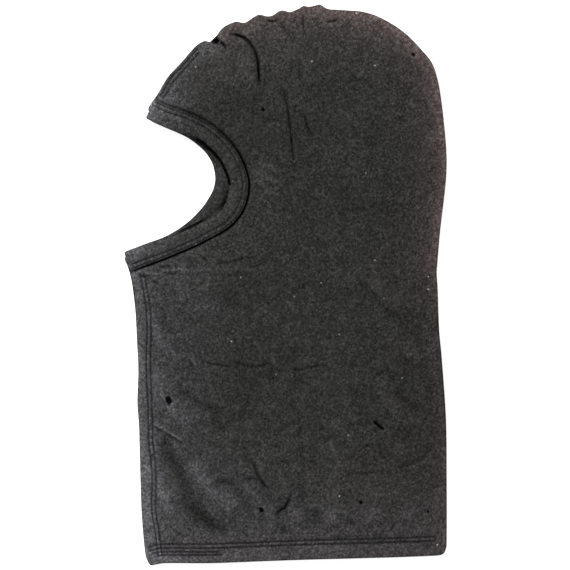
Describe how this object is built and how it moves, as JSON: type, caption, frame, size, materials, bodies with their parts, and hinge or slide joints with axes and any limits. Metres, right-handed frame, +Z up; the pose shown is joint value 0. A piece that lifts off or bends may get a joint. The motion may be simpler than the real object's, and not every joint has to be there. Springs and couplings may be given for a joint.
{
  "type": "balaclava",
  "caption": "Open-face jersey balaclava laid flat on its side, with a bound face opening, a topstitched front seam and a turned-up twin-needle neck hem.",
  "frame": {"origin": "centre of the footprint at the surface that the balaclava lies on", "axes": "+Z up through the flattened hood, +Y from the neck hem towards the crown, -X towards the wearer's front"},
  "size_m": [0.254, 0.4392, 0.0166],
  "materials": {
    "jersey": "matte brushed charcoal jersey knit, finely heathered",
    "binding": "matte charcoal jersey strip, folded and stitched flat",
    "thread": "black spun polyester sewing thread"
  },
  "bodies": {
    "root": {"left_side_panel": "jersey", "right_side_panel": "jersey", "left_face_binding": "binding", "right_face_binding": "binding", "left_binding_outer_stitch_row": "thread", "left_binding_inner_stitch_row": "thread", "left_binding_looper_thread": "thread", "right_binding_outer_stitch_row": "thread", "right_binding_inner_stitch_row": "thread", "right_binding_looper_thread": "thread", "left_hem_lower_stitch_row": "thread", "left_hem_upper_stitch_row": "thread", "left_hem_looper_thread": "thread", "right_hem_lower_stitch_row": "thread", "right_hem_upper_stitch_row": "thread", "right_hem_looper_thread": "thread", "hem_overlap_lower_stitch_row": "thread", "hem_overlap_upper_stitch_row": "thread", "binding_join_stitch": "thread", "front_seam_allowance": "jersey", "front_seam_overlock_thread": "thread", "front_seam_outer_stitch_row": "thread", "front_seam_inner_stitch_row": "thread", "brow_seam_allowance": "jersey", "brow_seam_overlock_thread": "thread", "brow_seam_outer_stitch_row": "thread", "brow_seam_inner_stitch_row": "thread", "crown_seam_allowance": "jersey", "crown_seam_overlock_thread": "thread"}
  },
  "joints": []
}
